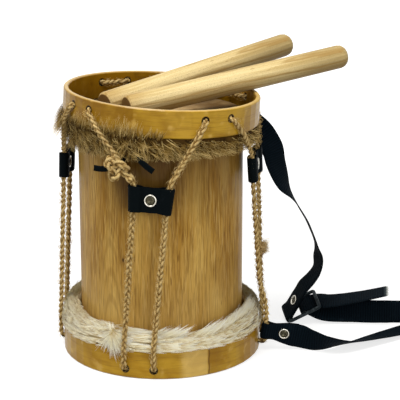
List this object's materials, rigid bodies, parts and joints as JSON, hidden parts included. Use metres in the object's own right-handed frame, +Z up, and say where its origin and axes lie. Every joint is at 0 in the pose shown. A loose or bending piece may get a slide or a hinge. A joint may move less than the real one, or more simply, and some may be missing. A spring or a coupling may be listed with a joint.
{
  "type": "bombo drum",
  "caption": "Cylindrical wooden drum with two furred skin heads, drilled hoops laced by one rope with sliding leather tugs, two sticks lying across the top and a webbing carrying strap",
  "frame": {"origin": "centre of the playing face of the top skin", "axes": "+Z up along the shell's axis, -Y toward the front leather tug, +X toward the right leather tug and the carrying strap"},
  "size_m": [0.4113, 0.2714, 0.307],
  "materials": {
    "shell_wood": "satin, stained red-brown",
    "hoop_wood": "satin varnish, honey brown",
    "flesh_hoop_wood": "bare",
    "stick_wood": "satin, pale",
    "skin": "bare dried skin",
    "top_fur": "curly fur, grey-brown",
    "bottom_fur": "long fur, cream",
    "rope": "twisted, matt",
    "leather": "smooth, black",
    "webbing": "woven, black",
    "rivet_metal": "nickel plated",
    "buckle": "dark grey, satin"
  },
  "bodies": {
    "drum": {"shell": "shell_wood", "top_hoop": "hoop_wood", "bottom_hoop": "hoop_wood", "top_flesh_hoop": "flesh_hoop_wood", "bottom_flesh_hoop": "flesh_hoop_wood", "top_head": "skin", "bottom_head": "skin", "skin_lace": "leather", "top_fur_collar": "top_fur", "bottom_fur_collar": "bottom_fur", "tension_rope": "rope", "rope_knot": "rope", "strap_upper": "webbing", "strap_long": "webbing", "strap_buckle": "buckle", "strap_rivet_top": "rivet_metal", "strap_rivet_buckle": "rivet_metal", "strap_rivet_foot": "rivet_metal"},
    "tug_front": {"tug_front": "leather", "tug_rivet_front": "rivet_metal"},
    "tug_right": {"tug_right": "leather", "tug_rivet_right": "rivet_metal"},
    "tug_back": {"tug_back": "leather", "tug_rivet_back": "rivet_metal"},
    "tug_left": {"tug_left": "leather", "tug_rivet_left": "rivet_metal"},
    "stick_front": {"stick_front": "stick_wood"},
    "stick_back": {"stick_back": "stick_wood"}
  },
  "joints": [
    {"name": "tug_front_slide", "type": "slide", "parent": "drum", "child": "tug_front", "axis": [-0.0836, -0.0432, -0.9956], "range_m": [0, 0.04]},
    {"name": "tug_right_slide", "type": "slide", "parent": "drum", "child": "tug_right", "axis": [0.0475, 0.0917, -0.9947], "range_m": [0, 0.034]},
    {"name": "tug_back_slide", "type": "slide", "parent": "drum", "child": "tug_back", "axis": [-0.0287, 0.0474, -0.9985], "range_m": [0, 0.04]},
    {"name": "tug_left_slide", "type": "slide", "parent": "drum", "child": "tug_left", "axis": [-0.0451, -0.004, -0.999], "range_m": [0, 0.04]},
    {"name": "stick_front_lift", "type": "slide", "parent": "drum", "child": "stick_front", "axis": [0, 0, 1], "range_m": [0, 0.15]},
    {"name": "stick_back_lift", "type": "slide", "parent": "drum", "child": "stick_back", "axis": [0, 0, 1], "range_m": [0, 0.15]}
  ]
}
